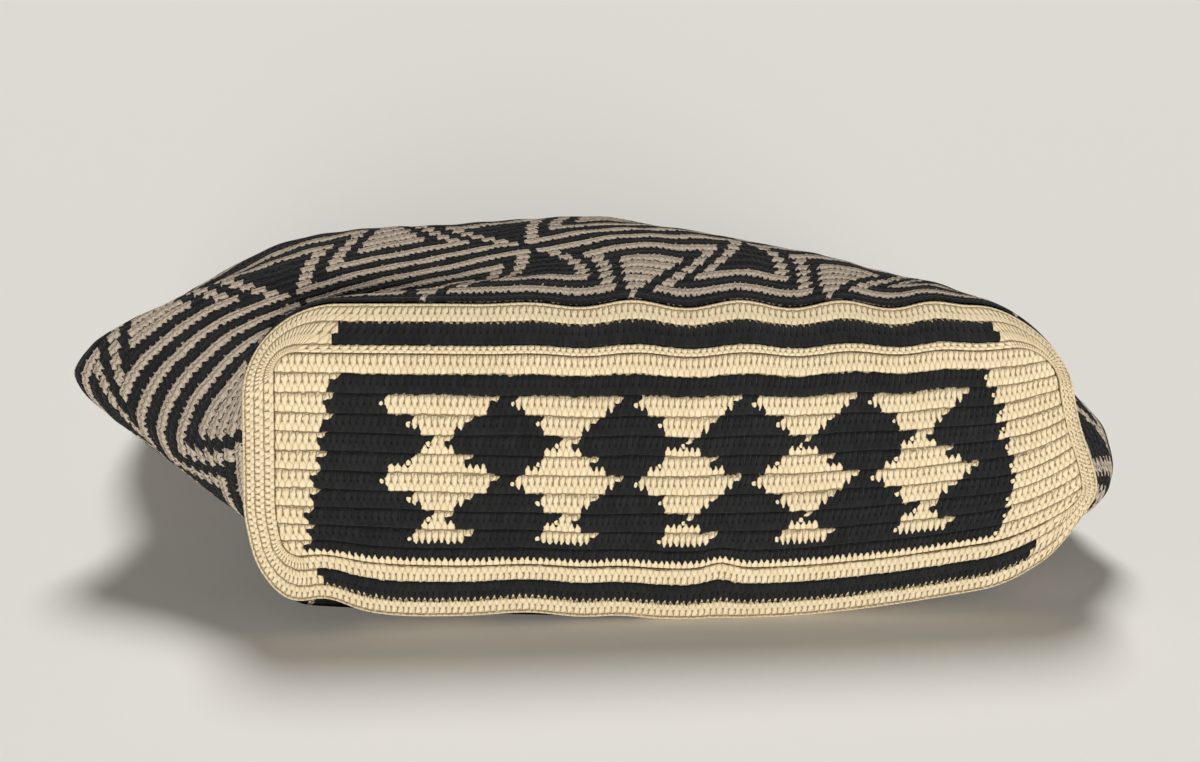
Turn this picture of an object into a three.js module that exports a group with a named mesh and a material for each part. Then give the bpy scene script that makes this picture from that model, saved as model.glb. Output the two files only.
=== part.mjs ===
import * as THREE from "three";

// Crocheted bag lying on its side, in millimetres. The base faces -Y, the mouth +Y, and +Z is up.
// The origin is on the floor, under the middle of the flat side that the bag rests on.

// Base: a rounded oblong that leans back, with raised rows and a thicker edge.
const baseWidth = 389;
const baseHeight = 131;
const baseLean = 17;
const baseLift = 1.2;
const baseThickness = 6;
const topLeftRadius = 42;
const topRightRadius = 50;
const bottomRightRadius = 46;
const bottomLeftRadius = 24;
const rightTaper = 0.10;
const rightLean = 16;
const lowerBow = 11.5;
const waveHeight = 1.8;
const wavePitch = 50;
const rowCount = 11;
const rowDepth = 1.6;
const roundWidth = 6;
const rimWidth = 4;
const rimHeight = 2;

// Body: a tube of cloth that swells behind the base and flattens toward the mouth.
const bodyLength = 280;
const wall = 4.5;
const seamGap = 0.3;
const seamStep = 2;
const softening = 65;
const leftSoftening = 15;
const restingDepth = 5;
const mouthLean = 7;
const flankSwell = 7.5;
const foldHeight = 2.5;
const foldPitch = 118;

// Heights of the body's top from the base to the mouth, as it lies.
const seamCrown = 158;
const shoulderCrown = 169.5;
const flankCrown = 151;
const bellyCrown = 144.5;
const waistCrown = 97.5;
const mouthCrown = 71;

// Heights of the side folds at the same places.
const seamSide = 56;
const shoulderSide = 47;
const flankSide = 39;
const bellySide = 44;
const waistSide = 40;
const mouthSide = 12.5;

// Shifts to the right at the same places.
const seamSway = 21;
const shoulderSway = 13;
const flankSway = -24;
const bellySway = -27;
const waistSway = -22;
const mouthSway = -14;

// How far the left fold is raised above the right one at the same places.
const seamLift = 10;
const shoulderLift = 18;
const flankLift = 50;
const bellyLift = 14;
const waistLift = 15;
const mouthLift = 8;

// Sections of the body, each at a share of the body's length. Girth is a share of the length of the base's
// outline, because the cloth is worked on from it. The upper and lower values are the roundness of each
// half, where 2 is an ellipse and more is boxier.
const sections = [
  { at: 0.00, crown: seamCrown, side: seamSide, sway: seamSway, lift: seamLift },
  { at: 0.10, crown: shoulderCrown, side: shoulderSide, sway: shoulderSway, lift: shoulderLift },
  { at: 0.25, crown: flankCrown, side: flankSide, sway: flankSway, lift: flankLift },
  { at: 0.46, crown: bellyCrown, side: bellySide, sway: bellySway, lift: bellyLift },
  { at: 0.71, crown: waistCrown, side: waistSide, sway: waistSway, lift: waistLift },
  { at: 1.00, crown: mouthCrown, side: mouthSide, sway: mouthSway, lift: mouthLift },
];
const roundness = [
  { upper: 2.60, lower: 2.90, girth: 1.04, tilt: 0.000 },
  { upper: 2.01, lower: 2.84, girth: 1.09, tilt: -0.074 },
  { upper: 1.60, lower: 2.09, girth: 1.13, tilt: 0.084 },
  { upper: 1.97, lower: 2.47, girth: 1.07, tilt: -0.055 },
  { upper: 2.38, lower: 2.78, girth: 1.09, tilt: -0.036 },
  { upper: 2.00, lower: 2.50, girth: 1.08, tilt: -0.016 },
];
sections.forEach((section, i) => Object.assign(section, roundness[i]));

// Mesh density.
const stepsPerRow = 4;
const panelColumns = 32;
const bodyColumns = 104;
const bodyRings = 18;

const { lerp, smoothstep, clamp, degToRad } = THREE.MathUtils;
const leanAngle = degToRad(baseLean);
const leanSlope = Math.tan(leanAngle);
const borderWidth = 2 * roundWidth;
const edgeWidth = borderWidth + rimWidth;
const originDepth = bodyLength * 0.46;

// The oblong's corner radii at a given inset from its edge.
function cornersAt(inset) {
  return {
    halfWidth: baseWidth / 2 - inset,
    halfHeight: baseHeight / 2 - inset,
    topLeft: Math.max(topLeftRadius - inset, 2),
    topRight: Math.max(topRightRadius - inset, 2),
    bottomRight: Math.max(bottomRightRadius - inset, 2),
    bottomLeft: Math.max(bottomLeftRadius - inset, 2),
  };
}

// Evenly spaced points on the oblong, from the middle of the left end over the top.
function oblong(inset, count) {
  const c = cornersAt(inset);
  const w = c.halfWidth;
  const h = c.halfHeight;
  const path = new THREE.Path();
  path.moveTo(-w, 0);
  path.lineTo(-w, h - c.topLeft);
  path.absarc(-w + c.topLeft, h - c.topLeft, c.topLeft, Math.PI, Math.PI / 2, true);
  path.lineTo(w - c.topRight, h);
  path.absarc(w - c.topRight, h - c.topRight, c.topRight, Math.PI / 2, 0, true);
  path.lineTo(w, -h + c.bottomRight);
  path.absarc(w - c.bottomRight, -h + c.bottomRight, c.bottomRight, 0, -Math.PI / 2, true);
  path.lineTo(-w + c.bottomLeft, -h);
  path.absarc(-w + c.bottomLeft, -h + c.bottomLeft, c.bottomLeft, -Math.PI / 2, -Math.PI, true);
  path.lineTo(-w, 0);
  return path.getSpacedPoints(count).slice(0, count);
}

// The hand-made outline: narrower to the right, where it leans inward, bowed below and waved along the top.
function shaped(point) {
  const half = baseHeight / 2;
  const across = clamp(point.x / (baseWidth / 2), 0, 1);
  let up = half - (half - point.y) * (1 - rightTaper * across * across);
  const low = clamp((half - up) / baseHeight, 0, 1);
  const bowPlace = clamp((point.x - 0.1 * baseWidth) / (0.6 * baseWidth), -1, 1);
  up -= lowerBow * low * Math.cos(bowPlace * Math.PI / 2);
  const waved = smoothstep(point.x, -0.28 * baseWidth, -0.05 * baseWidth)
    * (1 - smoothstep(point.x, 0.28 * baseWidth, 0.42 * baseWidth));
  const nearTop = waved * Math.exp(-(half - up) / 35);
  up += waveHeight * nearTop * Math.cos(2 * Math.PI * (point.x + 0.06 * baseWidth) / wavePitch);
  const leaning = clamp((up + 0.19 * baseHeight) / (0.69 * baseHeight), 0, 1);
  return new THREE.Vector2(point.x - rightLean * across * across * leaning, up);
}

// A point of the base in space: across, up its slope, and out from its face.
function onBase(point, out) {
  const p = shaped(point);
  const slope = p.y + baseHeight / 2 + lowerBow;
  const z = baseLift + slope * Math.cos(leanAngle) + out * Math.sin(leanAngle);
  const y = (baseLift + slope * Math.cos(leanAngle)) * leanSlope - out * Math.cos(leanAngle);
  return new THREE.Vector3(p.x, y - originDepth, z);
}

// Gathers points and triangles, and makes a mesh of them.
class Skin {
  constructor() {
    this.points = [];
    this.faces = [];
  }

  row(points) {
    const first = this.points.length;
    this.points.push(...points);
    return points.map((_, i) => first + i);
  }

  strip(a, b, closed) {
    const last = closed ? a.length : a.length - 1;
    for (let i = 0; i < last; i += 1) {
      const k = (i + 1) % a.length;
      this.faces.push(a[i], a[k], b[k], a[i], b[k], b[i]);
    }
  }

  fan(centre, ring) {
    ring.forEach((v, i) => this.faces.push(centre, v, ring[(i + 1) % ring.length]));
  }

  mesh(name, material) {
    const geometry = new THREE.BufferGeometry().setFromPoints(this.points);
    geometry.setIndex(this.faces);
    geometry.computeVertexNormals();
    const mesh = new THREE.Mesh(geometry, material);
    mesh.name = name;
    return mesh;
  }
}

// Base: raised rows run across the middle, two rounds follow the edge, and the rim is raised.
function makeBase() {
  const skin = new Skin();
  const c = cornersAt(edgeWidth);
  const rows = rowCount * stepsPerRow;

  const endOf = (s, top, bottom) => {
    const r = s > 0 ? top : bottom;
    const over = Math.abs(s) - (c.halfHeight - r);
    return over <= 0 ? 0 : r - Math.sqrt(Math.max(r * r - over * over, 0));
  };

  const grid = [];
  for (let j = 0; j <= rows; j += 1) {
    const s = lerp(-c.halfHeight, c.halfHeight, j / rows);
    const left = -c.halfWidth + endOf(s, c.topLeft, c.bottomLeft);
    const right = c.halfWidth - endOf(s, c.topRight, c.bottomRight);
    const phase = (j % stepsPerRow) / stepsPerRow;
    const out = rowDepth * Math.sin(phase * Math.PI);
    const line = [];
    for (let i = 0; i <= panelColumns; i += 1) {
      const edge = Math.min(i, panelColumns - i) / panelColumns;
      line.push({ at: new THREE.Vector2(lerp(left, right, i / panelColumns), s), out: edge > 0 ? out : 0 });
    }
    grid.push(line);
  }
  const panel = grid.map((line) => skin.row(line.map((p) => onBase(p.at, p.out))));
  for (let j = 0; j < rows; j += 1) skin.strip(panel[j], panel[j + 1], false);

  // The panel's edge, round from the lower left corner.
  const edge = [];
  for (let i = 0; i < panelColumns; i += 1) edge.push([0, i]);
  for (let j = 0; j < rows; j += 1) edge.push([j, panelColumns]);
  for (let i = panelColumns; i > 0; i -= 1) edge.push([rows, i]);
  for (let j = rows; j > 0; j -= 1) edge.push([j, 0]);

  const outward = edge.map(([j, i]) => {
    const p = grid[j][i].at;
    const r = p.y > 0 ? (p.x < 0 ? c.topLeft : c.topRight) : (p.x < 0 ? c.bottomLeft : c.bottomRight);
    const x = Math.abs(p.x) - (c.halfWidth - r);
    const y = Math.abs(p.y) - (c.halfHeight - r);
    const way = new THREE.Vector2(Math.max(x, 0) * Math.sign(p.x), Math.max(y, 0) * Math.sign(p.y));
    return way.normalize();
  });

  const profile = [
    [roundWidth * 0.30, rowDepth],
    [roundWidth * 0.70, rowDepth],
    [roundWidth, 0],
    [roundWidth * 1.30, rowDepth],
    [roundWidth * 1.70, rowDepth],
    [borderWidth, 0],
    [borderWidth + rimWidth * 0.25, rimHeight],
    [borderWidth + rimWidth * 0.75, rimHeight],
    [edgeWidth, -baseThickness * 0.45],
    [edgeWidth - rimWidth * 0.3, -baseThickness],
  ];
  let previous = edge.map(([j, i]) => panel[j][i]);
  for (const [distance, out] of profile) {
    const points = edge.map(([j, i], k) => {
      const at = grid[j][i].at.clone().addScaledVector(outward[k], distance);
      return onBase(at, out);
    });
    const ring = skin.row(points);
    skin.strip(ring, previous, true);
    previous = ring;
  }
  const [centre] = skin.row([onBase(new THREE.Vector2(0, 0), -baseThickness)]);
  skin.fan(centre, [...previous].reverse());

  return skin.mesh("base", new THREE.MeshStandardMaterial({ color: 0xdccba4, roughness: 0.95, metalness: 0 }));
}

// A value of the section list at a share of the length, on a smooth curve through the list.
function alongBody(key, share) {
  const last = sections.length - 1;
  const slopeAt = (i) => {
    const a = sections[Math.max(i - 1, 0)];
    const b = sections[Math.min(i + 1, last)];
    return (b[key] - a[key]) / (b.at - a.at);
  };
  let i = 0;
  while (i < last - 1 && share > sections[i + 1].at) i += 1;
  const span = sections[i + 1].at - sections[i].at;
  const t = (share - sections[i].at) / span;
  const t2 = t * t;
  const t3 = t2 * t;
  return (2 * t3 - 3 * t2 + 1) * sections[i][key] + (t3 - 2 * t2 + t) * span * slopeAt(i)
    + (3 * t2 - 2 * t3) * sections[i + 1][key] + (t3 - t2) * span * slopeAt(i + 1);
}

function lengthOf(points) {
  return points.reduce((sum, p, i) => sum + p.distanceTo(points[(i + 1) % points.length]), 0);
}

// Points spaced evenly round a closed line.
function evenly(points, count) {
  const total = lengthOf(points);
  const result = [];
  let i = 0;
  let passed = 0;
  let piece = points[0].distanceTo(points[1]);
  for (let k = 0; k < count; k += 1) {
    const wanted = total * k / count;
    while (passed + piece < wanted) {
      passed += piece;
      i += 1;
      piece = points[i % points.length].distanceTo(points[(i + 1) % points.length]);
    }
    const a = points[i % points.length];
    const b = points[(i + 1) % points.length];
    result.push(a.clone().lerp(b, piece > 0 ? (wanted - passed) / piece : 0));
  }
  return result;
}

const baseGirth = lengthOf(oblong(0, 400).map(shaped));

// A rounded form whose left end is raised by the lift. Roundness 2 is an ellipse.
function roundForm(width, above, below, upper, lower, tilt, lift) {
  const points = [];
  for (let i = 0; i < 360; i += 1) {
    const angle = 2 * Math.PI * i / 360;
    const c = Math.cos(angle);
    const s = Math.sin(angle);
    const power = 2 / (s > 0 ? upper : lower);
    const x = -width * Math.sign(c) * Math.abs(c) ** power;
    const z = (s > 0 ? above : below) * Math.sign(s) * Math.abs(s) ** power;
    const raised = lift * clamp(-x / width, 0, 1) ** 2;
    points.push(new THREE.Vector2(x, z + raised + (s > 0 ? tilt * x * s : 0)));
  }
  return points;
}

// The half width that gives a section its girth.
function widthForGirth(girth, above, below, upper, lower) {
  let low = 0.2 * baseWidth;
  let high = baseWidth;
  for (let i = 0; i < 30; i += 1) {
    const middle = (low + high) / 2;
    if (lengthOf(roundForm(middle, above, below, upper, lower, 0, 0)) > girth) high = middle;
    else low = middle;
  }
  return low;
}

// One ring of the body at a depth behind the base. The inset is 0 outside and the wall inside.
function bodyRing(depth, firstDepth, inset) {
  const share = clamp(depth / bodyLength, 0, 1);
  const value = (key) => alongBody(key, share);
  const side = value("side");
  const above = value("crown") - side;
  const below = side + restingDepth;
  const sway = value("sway");
  const upper = value("upper");
  const lower = value("lower");
  const width = widthForGirth(value("girth") * baseGirth, above, below, upper, lower);
  const outline = roundForm(
    width - 1.5 * inset, above - inset, below - inset, upper, lower, value("tilt"), value("lift"));
  const form = evenly(outline, bodyColumns);
  const start = oblong(seamStep + inset, bodyColumns);
  const lean = lerp(leanSlope, Math.tan(degToRad(mouthLean)), smoothstep(depth, 0, 0.7 * bodyLength));
  const behind = Math.exp(-(((depth - 0.7 * softening) / (0.75 * softening)) ** 2))
    * smoothstep(depth - firstDepth, 0, softening);

  return form.map((p, i) => {
    const s = shaped(start[i]);
    const startZ = baseLift + (s.y + baseHeight / 2 + lowerBow) * Math.cos(leanAngle);
    const left = smoothstep(-s.x, 0.15 * baseWidth, 0.45 * baseWidth);
    const soft = smoothstep(depth - firstDepth, 0, lerp(softening, leftSoftening, left));
    let x = lerp(s.x, p.x + sway, soft);
    let z = lerp(startZ, p.y + side, soft);
    const right = smoothstep(x, 0.2 * baseWidth, 0.56 * baseWidth);
    x += flankSwell * behind * right * (1 - smoothstep(z, 0.2 * baseHeight, 0.7 * baseHeight));
    const over = clamp((z - side) / above, 0, 1);
    const fold = Math.sin(2 * Math.PI * (x / foldPitch + depth / (1.4 * foldPitch)));
    z += foldHeight * over * fold * smoothstep(depth, softening, 2 * softening);
    z = Math.max(z, inset);
    return new THREE.Vector3(x, depth + z * lean - originDepth, z);
  });
}

// Body: an outer and an inner skin joined at the seam and at the mouth.
function makeBody() {
  const skin = new Skin();
  const firstDepth = (baseThickness + seamGap) / Math.cos(leanAngle);
  const outer = [];
  const inner = [];
  for (let j = 0; j <= bodyRings; j += 1) {
    const depth = lerp(firstDepth, bodyLength, (j / bodyRings) ** 1.5);
    outer.push(skin.row(bodyRing(depth, firstDepth, 0)));
    inner.push(skin.row(bodyRing(depth, firstDepth, wall)));
  }
  for (let j = 0; j < bodyRings; j += 1) {
    skin.strip(outer[j], outer[j + 1], true);
    skin.strip(inner[j + 1], inner[j], true);
  }
  skin.strip(inner[0], outer[0], true);
  skin.strip(outer[bodyRings], inner[bodyRings], true);
  return skin.mesh("body", new THREE.MeshStandardMaterial({ color: 0x2b2a2b, roughness: 0.95, metalness: 0 }));
}

const bag = new THREE.Group();
bag.name = "crocheted_bag";
bag.add(makeBase(), makeBody());

export default bag;
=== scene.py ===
import math
import bpy
import bmesh
import numpy as np
from mathutils import Matrix, Vector


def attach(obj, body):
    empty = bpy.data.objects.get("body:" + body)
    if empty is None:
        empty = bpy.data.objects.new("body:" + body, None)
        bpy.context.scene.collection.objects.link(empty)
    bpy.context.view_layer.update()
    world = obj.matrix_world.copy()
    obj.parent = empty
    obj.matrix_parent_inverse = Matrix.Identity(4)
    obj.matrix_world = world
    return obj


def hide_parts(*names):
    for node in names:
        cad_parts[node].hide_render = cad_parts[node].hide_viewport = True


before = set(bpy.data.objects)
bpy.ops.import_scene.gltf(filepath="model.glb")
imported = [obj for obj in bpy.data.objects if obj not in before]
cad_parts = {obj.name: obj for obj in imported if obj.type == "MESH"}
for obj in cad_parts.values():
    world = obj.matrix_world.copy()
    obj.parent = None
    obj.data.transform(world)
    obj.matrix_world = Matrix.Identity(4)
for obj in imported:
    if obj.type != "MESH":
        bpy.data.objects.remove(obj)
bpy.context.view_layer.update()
scene = bpy.context.scene
scene.view_settings.view_transform = "Standard"
print("stage: frame loaded")

# The bag's form in millimetres, close to the solids' values.
bagForm = {
    "baseWidth": 389.0, "baseHeight": 131.0, "baseLean": 17.0, "baseLift": 1.2,
    "radii": (42.0, 50.0, 24.0, 24.0), "rightTaper": 0.10, "rightLean": 16.0, "lowerBow": 11.5,
    "lowerDrop": -0.7, "waveHeight": 1.8, "wavePitch": 50.0, "leftTuck": 6.5, "cornerLift": 26.0,
    "cornerStart": 140.0, "cornerReach": 54.0, "rightKnee": 5.5, "kneeHeight": -18.0, "kneeSpread": 22.0,
    "bodyLength": 280.0, "wall": 4.5, "seamDepth": 4.2, "seamStep": 1.0, "restingDepth": 5.0,
    "topSetBack": 5.0, "softening": 65.0, "leftSoftening": 15.0, "mouthLean": 7.0, "flankSwell": 7.5,
    "shoulderTuck": 10.5, "shoulderHeight": 102.0, "shoulderSpread": 27.0,
    "foldHeight": 2.5, "foldPitch": 118.0,
}
# Each section's share of the length, crown, side, upper and lower roundness, girth, sway, tilt, left lift,
# and upper and lower roundness of the left edge.
bodySections = np.array([
    (0.00, 158.0, 56.0, 2.60, 2.90, 1.04, 21.0, 0.000, 10.0, 2.60, 2.90),
    (0.10, 157.5, 40.5, 2.60, 2.85, 1.09, 12.0, -0.055, 27.0, 1.40, 2.50),
    (0.25, 157.5, 45.0, 1.80, 2.10, 1.13, -26.5, -0.070, 42.0, 1.33, 1.75),
    (0.34, 151.5, 36.0, 2.05, 2.20, 1.11, -20.0, -0.095, 28.0, 1.70, 1.65),
    (0.46, 131.5, 44.0, 2.75, 2.45, 1.07, -24.0, -0.020, 17.0, 2.50, 2.05),
    (0.71, 90.0, 40.0, 2.15, 2.80, 1.09, -22.0, 0.045, 15.0, 2.50, 2.50),
    (1.00, 71.0, 12.5, 2.00, 2.50, 1.08, -14.0, -0.015, 8.0, 2.00, 2.50),
])
leanAngle = math.radians(bagForm["baseLean"])
leanSlope = math.tan(leanAngle)
originDepth = 0.46 * bagForm["bodyLength"]
halfWide = bagForm["baseWidth"] / 2
halfHigh = bagForm["baseHeight"] / 2


def smooth(x, low, high):
    t = np.clip((x - low) / (high - low), 0.0, 1.0)
    return t * t * (3.0 - 2.0 * t)


# A point on a rounded oblong, by part (side or corner, from the left side upward) and share of the part.
def oblongPoint(box, radii, part, share):
    left, right, low, high = box
    tl, tr, br, bl = radii
    lines = {0: (left, low + bl, left, high - tl), 2: (left + tl, high, right - tr, high),
             4: (right, high - tr, right, low + br), 6: (right - br, low, left + bl, low)}
    corners = {1: (left + tl, high - tl, tl, math.pi), 3: (right - tr, high - tr, tr, math.pi / 2),
               5: (right - br, low + br, br, 0.0), 7: (left + bl, low + bl, bl, -math.pi / 2)}
    x, y = np.zeros_like(share), np.zeros_like(share)
    for k in range(8):
        here = part == k
        f = share[here]
        if k in corners:
            cx, cy, r, turn = corners[k]
            x[here] = cx + r * np.cos(turn - f * math.pi / 2)
            y[here] = cy + r * np.sin(turn - f * math.pi / 2)
        else:
            ax, ay, bx, by = lines[k]
            x[here] = ax + f * (bx - ax)
            y[here] = ay + f * (by - ay)
    return x, y


# Parts and shares of points spaced evenly round the base's oblong, from the middle of the left side.
def oblongRun(inset, count):
    wide, high = halfWide - inset, halfHigh - inset
    tl, tr, br, bl = radii = tuple(r - inset for r in bagForm["radii"])
    q = math.pi / 2
    lengths = np.array([2 * high - bl - tl, q * tl, 2 * wide - tl - tr, q * tr,
                        2 * high - tr - br, q * br, 2 * wide - br - bl, q * bl])
    marks = np.concatenate([[0.0], np.cumsum(lengths)])
    run = np.mod(np.arange(count) / count * marks[-1] + high - bl, marks[-1])
    part = np.clip(np.searchsorted(marks, run, side="right") - 1, 0, 7)
    share = (run - marks[part]) / lengths[part]
    return part, share, oblongPoint((-wide, wide, -high, high), radii, part, share)


# The hand-made outline.
def shaped(x, y):
    f = bagForm
    across = np.clip(x / halfWide, 0.0, 1.0)
    up = halfHigh - (halfHigh - y) * (1.0 - f["rightTaper"] * across ** 2)
    low = np.clip((halfHigh - up) / f["baseHeight"], 0.0, 1.0)
    place = np.clip((x - 0.1 * f["baseWidth"]) / (0.6 * f["baseWidth"]), -1.0, 1.0)
    up = up - f["lowerBow"] * low * np.cos(place * math.pi / 2)
    corner = np.clip((x - f["cornerStart"]) / f["cornerReach"], 0.0, 1.0)
    up = up + f["cornerLift"] * low ** 1.2 * corner ** 2
    waved = smooth(x, -0.28 * f["baseWidth"], -0.05 * f["baseWidth"])
    waved = waved * (1.0 - smooth(x, 0.28 * f["baseWidth"], 0.42 * f["baseWidth"]))
    wave = np.cos(2 * math.pi * (x + 0.06 * f["baseWidth"]) / f["wavePitch"])
    up = up + f["waveHeight"] * waved * np.exp(-(halfHigh - up) / 35.0) * wave
    leaning = np.clip((up + 0.19 * f["baseHeight"]) / (0.69 * f["baseHeight"]), 0.0, 1.0)
    tucked = f["leftTuck"] * smooth(-up, 20.0, 62.0) * smooth(-x, 0.5 * halfWide, halfWide)
    knee = f["rightKnee"] * np.exp(-((up - f["kneeHeight"]) / f["kneeSpread"]) ** 2) * across ** 2
    return x - f["rightLean"] * across ** 2 * leaning + tucked + knee, up


# Place, width and height of the small rises along the base's lower edge.
lowerRises = [(-160.0, 13.0, 5.0), (-125.0, 20.0, -1.0), (-70.0, 20.0, 2.4), (-30.0, 14.0, 1.5),
              (60.0, 40.0, -0.6)]
stripeRise = {"place": 16.0, "width": 8.0, "height": 2.6, "level": -56.0, "spread": 15.0}


def onBase(x, y, out):
    x, y = shaped(x, y)
    rises = sum(height * np.exp(-((x - place) / width) ** 2) for place, width, height in lowerRises)
    y = y + (bagForm["lowerDrop"] + rises) * smooth(-y, 22.0, 72.0)
    along = np.exp(-((x - stripeRise["place"]) / stripeRise["width"]) ** 2)
    across = np.exp(-((y - stripeRise["level"]) / stripeRise["spread"]) ** 2)
    y = y + stripeRise["height"] * along * across
    level = bagForm["baseLift"] + (y + halfHigh + bagForm["lowerBow"]) * math.cos(leanAngle)
    z = np.maximum(level + out * math.sin(leanAngle), 0.3)
    depth = level * leanSlope - out * math.cos(leanAngle)
    return np.stack([x, depth - originDepth, z], -1)


def evenly(x, y, count):
    x = np.append(x, x[0])
    y = np.append(y, y[0])
    run = np.concatenate([[0.0], np.cumsum(np.hypot(np.diff(x), np.diff(y)))])
    at = np.arange(count) / count * run[-1]
    return np.interp(at, run, x), np.interp(at, run, y)


def girthOf(x, y):
    return np.hypot(x - np.roll(x, 1), y - np.roll(y, 1)).sum()


baseGirth = girthOf(*shaped(*oblongRun(0.0, 400)[2]))


# The section values at a share of the body's length, on a smooth curve through the list.
def alongBody(share):
    marks = bodySections[:, 0]
    i = int(np.clip(np.searchsorted(marks, share) - 1, 0, len(marks) - 2))

    def slopeAt(k):
        a, b = bodySections[max(k - 1, 0)], bodySections[min(k + 1, len(marks) - 1)]
        return (b[1:] - a[1:]) / (b[0] - a[0])
    span = marks[i + 1] - marks[i]
    t = (share - marks[i]) / span
    start, end = bodySections[i, 1:], bodySections[i + 1, 1:]
    return ((2 * t ** 3 - 3 * t ** 2 + 1) * start + (t ** 3 - 2 * t ** 2 + t) * span * slopeAt(i)
            + (3 * t ** 2 - 2 * t ** 3) * end + (t ** 3 - t ** 2) * span * slopeAt(i + 1))


def roundForm(wide, above, below, upper, lower, tilt, lift, leftUpper, leftLower):
    angle = np.arange(720) / 720 * 2 * math.pi
    c, s = np.cos(angle), np.sin(angle)
    power = 2.0 / np.where(c > 0, np.where(s > 0, leftUpper, leftLower), np.where(s > 0, upper, lower))
    x = -wide * np.sign(c) * np.abs(c) ** power
    z = np.where(s > 0, above, below) * np.sign(s) * np.abs(s) ** power
    left = np.clip(-x / wide, 0.0, 1.0)
    return x, z + np.where(s > 0, tilt * x * s, 0.0) + lift * left ** 2


# One ring of the body at a depth behind the base, inset from the outer face.
def bodyRing(depth, inset, count):
    f = bagForm
    values = alongBody(min(depth / f["bodyLength"], 1.0))
    crown, side, upper, lower, girth, sway, tilt, lift, leftUpper, leftLower = values
    above, below = crown - side, side + f["restingDepth"]
    low, high = 0.2 * f["baseWidth"], f["baseWidth"]
    for step in range(30):
        middle = (low + high) / 2
        trial = roundForm(middle, above, below, upper, lower, 0.0, 0.0, leftUpper, leftLower)
        if girthOf(*trial) > girth * baseGirth:
            high = middle
        else:
            low = middle
    form = roundForm(low - 1.5 * inset, above - inset, below - inset, upper, lower, tilt, lift,
                     leftUpper, leftLower)
    px, pz = evenly(*form, count)
    sx, sy = shaped(*oblongRun(f["seamStep"] + inset, count)[2])
    startZ = f["baseLift"] + (sy + halfHigh + f["lowerBow"]) * math.cos(leanAngle)
    startZ = np.maximum(startZ - 2.4 * smooth(-sy, 40.0, 62.0), 0.0)
    top = smooth(sy, 20.0, 60.0)
    left = smooth(-sx, 0.15 * f["baseWidth"], 0.45 * f["baseWidth"]) * (1.0 - smooth(sy, 10.0, 55.0))
    past = (depth - f["seamDepth"]) / (f["softening"] + (f["leftSoftening"] - f["softening"]) * left)
    soft = smooth(past, 0.0, 1.0)
    quick = soft + (np.sin(np.clip(past, 0.0, 1.0) * math.pi / 2) - soft) * top
    mouthSlope = math.tan(math.radians(f["mouthLean"]))
    lean = leanSlope + (mouthSlope - leanSlope) * smooth(depth, 0.0, 0.7 * f["bodyLength"])
    behind = math.exp(-((depth - 0.7 * f["softening"]) / (0.75 * f["softening"])) ** 2)
    behind *= float(smooth(depth - f["seamDepth"], 0.0, f["softening"]))
    x = sx + (px + sway - sx) * soft
    z = startZ + (pz + side - startZ) * quick
    right = smooth(x, 0.2 * f["baseWidth"], 0.56 * f["baseWidth"])
    lowPart = 1.0 - smooth(z, 0.2 * f["baseHeight"], 0.7 * f["baseHeight"])
    x = x + f["flankSwell"] * behind * right * lowPart
    near = float(smooth(depth - f["seamDepth"], 0.0, 18.0) * (1.0 - smooth(depth, 60.0, 150.0)))
    shoulder = near * right * np.exp(-((z - f["shoulderHeight"]) / f["shoulderSpread"]) ** 2)
    x = x - f["shoulderTuck"] * shoulder
    z = z - 0.6 * f["shoulderTuck"] * shoulder
    over = np.clip((z - side) / above, 0.0, 1.0)
    fold = np.sin(2 * math.pi * (x / f["foldPitch"] + depth / (1.4 * f["foldPitch"])))
    z = z + f["foldHeight"] * over * fold * smooth(depth, f["softening"], 2 * f["softening"])
    z = np.maximum(z, inset)
    y = depth + z * lean + f["topSetBack"] * top * (1.0 - quick)
    return np.stack([x, y - originDepth, z], -1)


# A grid piece: place gives its points, stitch map and hollow, how deep each point lies between the strands,
# which the shader paints as shade.
def gridPiece(name, columns, rows, place, material):
    mesh = bpy.data.meshes.new(name)
    build = bmesh.new()
    bmesh.ops.create_grid(build, x_segments=columns, y_segments=rows, size=1.0)
    build.to_mesh(mesh)
    build.free()
    flat = np.empty(len(mesh.vertices) * 3, np.float32)
    mesh.vertices.foreach_get("co", flat)
    flat = flat.reshape(-1, 3)
    i = np.rint((flat[:, 0] + 1.0) / 2.0 * columns).astype(int)
    j = np.rint((flat[:, 1] + 1.0) / 2.0 * rows).astype(int)
    points, mapU, mapV, hollow = place(i, j)
    mesh.vertices.foreach_set("co", (points * 0.001).astype(np.float32).ravel())
    corner = np.empty(len(mesh.loops), np.int32)
    mesh.loops.foreach_get("vertex_index", corner)
    layer = mesh.uv_layers.new(name="stitches")
    layer.data.foreach_set("uv", np.stack([mapU[corner], mapV[corner]], -1).astype(np.float32).ravel())
    deep = mesh.attributes.new("hollow", "FLOAT", "POINT")
    deep.data.foreach_set("value", np.clip(hollow, 0.0, 1.0).astype(np.float32))
    mesh.shade_smooth()
    build = bmesh.new()
    build.from_mesh(mesh)
    bmesh.ops.remove_doubles(build, verts=build.verts, dist=1e-6)
    bmesh.ops.recalc_face_normals(build, faces=build.faces)
    build.to_mesh(mesh)
    build.free()
    mesh.materials.append(material)
    piece = bpy.data.objects.new(name, mesh)
    scene.collection.objects.link(piece)
    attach(piece, "root")
    return piece


# Short forms for the shader's sums.
def addMath(tree, operation, *values):
    node = tree.nodes.new("ShaderNodeMath")
    node.operation = operation
    for k, value in enumerate(values):
        if isinstance(value, (int, float)):
            node.inputs[k].default_value = value
        else:
            tree.links.new(value, node.inputs[k])
    return node.outputs[0]


def addAll(tree, operation, *values):
    total = values[0]
    for value in values[1:]:
        total = addMath(tree, operation, total, value)
    return total


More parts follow.
